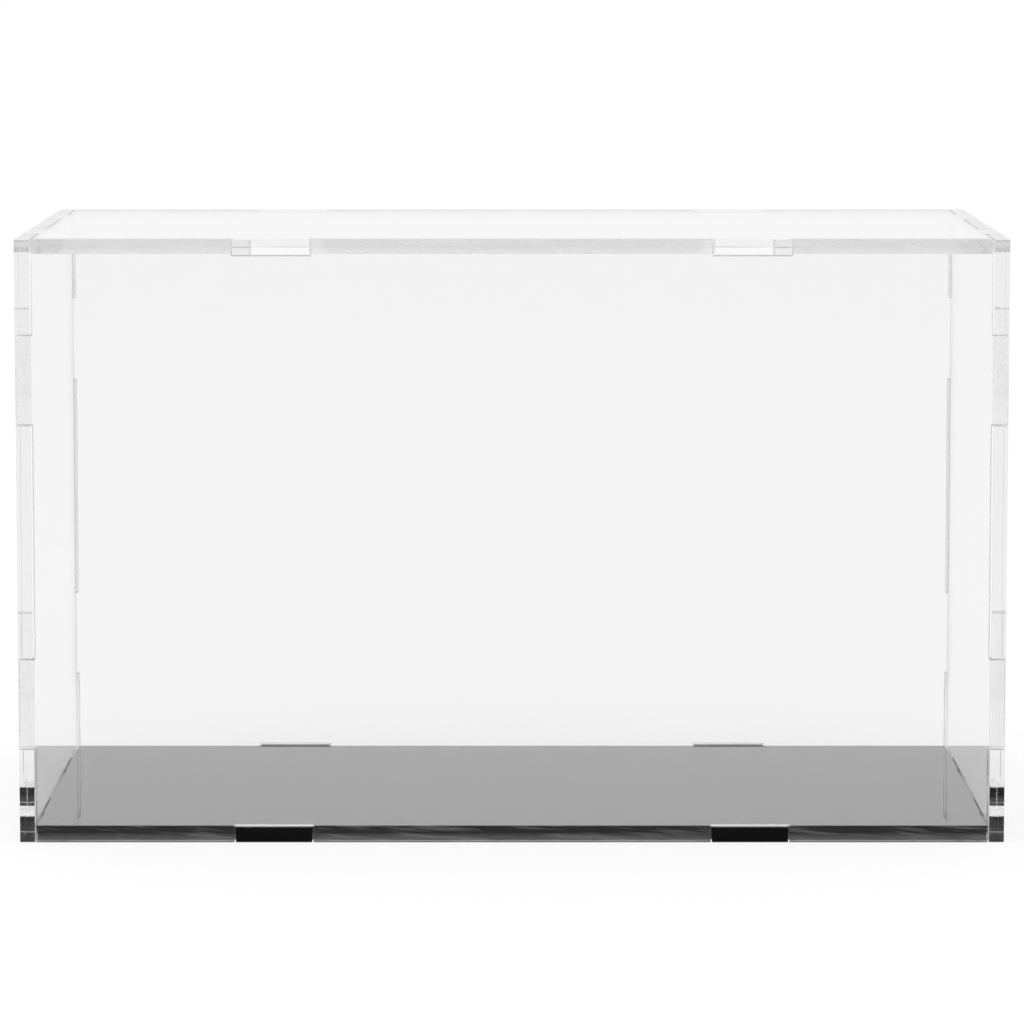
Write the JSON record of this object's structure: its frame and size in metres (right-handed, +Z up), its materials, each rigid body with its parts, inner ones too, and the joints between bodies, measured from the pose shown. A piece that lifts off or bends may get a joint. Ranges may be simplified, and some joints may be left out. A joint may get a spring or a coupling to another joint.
{
  "type": "display case",
  "caption": "Clear rectangular acrylic display case with tab-and-notch corners on a glossy black base; the cover lifts off and every panel pulls off along its own normal.",
  "frame": {"origin": "centre of the footprint, on the surface that the case stands on", "axes": "+X to the viewer's right along the longest side, +Y from the front panel to the back panel, +Z up"},
  "size_m": [0.31, 0.17, 0.19],
  "materials": {
    "clear_acrylic": "polished clear sheet with laser-cut edges",
    "black_acrylic": "polished black sheet with laser-cut edges"
  },
  "bodies": {
    "base": {"base_panel": "black_acrylic"},
    "back_wall": {"back_panel": "clear_acrylic"},
    "front_wall": {"front_panel": "clear_acrylic"},
    "left_wall": {"left_panel": "clear_acrylic"},
    "right_wall": {"right_panel": "clear_acrylic"},
    "top": {"top_panel": "clear_acrylic"}
  },
  "joints": [
    {"name": "cover_lift", "type": "slide", "parent": "base", "child": "back_wall", "axis": [0, 0, 1], "range_m": [0, 0.2]},
    {"name": "front_panel_pull", "type": "slide", "parent": "back_wall", "child": "front_wall", "axis": [0, -1, 0], "range_m": [0, 0.08]},
    {"name": "left_panel_pull", "type": "slide", "parent": "back_wall", "child": "left_wall", "axis": [-1, 0, 0], "range_m": [0, 0.08]},
    {"name": "right_panel_pull", "type": "slide", "parent": "back_wall", "child": "right_wall", "axis": [1, 0, 0], "range_m": [0, 0.08]},
    {"name": "top_panel_lift", "type": "slide", "parent": "back_wall", "child": "top", "axis": [0, 0, 1], "range_m": [0, 0.12]}
  ]
}
